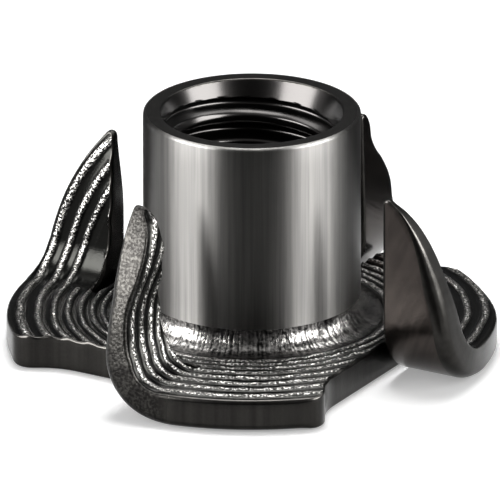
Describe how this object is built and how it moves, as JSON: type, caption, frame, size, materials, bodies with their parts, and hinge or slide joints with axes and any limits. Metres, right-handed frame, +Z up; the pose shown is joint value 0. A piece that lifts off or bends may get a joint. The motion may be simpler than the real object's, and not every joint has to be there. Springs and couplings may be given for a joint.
{
  "type": "tee nut",
  "caption": "Pronged tee nut: a round notched flange with prongs folded up from its rim, and a countersunk threaded barrel for fixing a screw thread in timber.",
  "frame": {"origin": "centre of the flange's flat underside, on the thread's axis", "axes": "+Z up the barrel, along the thread; the prongs repeat every quarter turn about it, and the fold line of the first one runs 30 degrees clockwise of +X"},
  "size_m": [0.022, 0.022, 0.0111],
  "materials": {
    "plated_steel": "dark, bright black-nickel plate over pressed and turned steel"
  },
  "bodies": {
    "root": {"tee_nut": "plated_steel"}
  },
  "joints": []
}
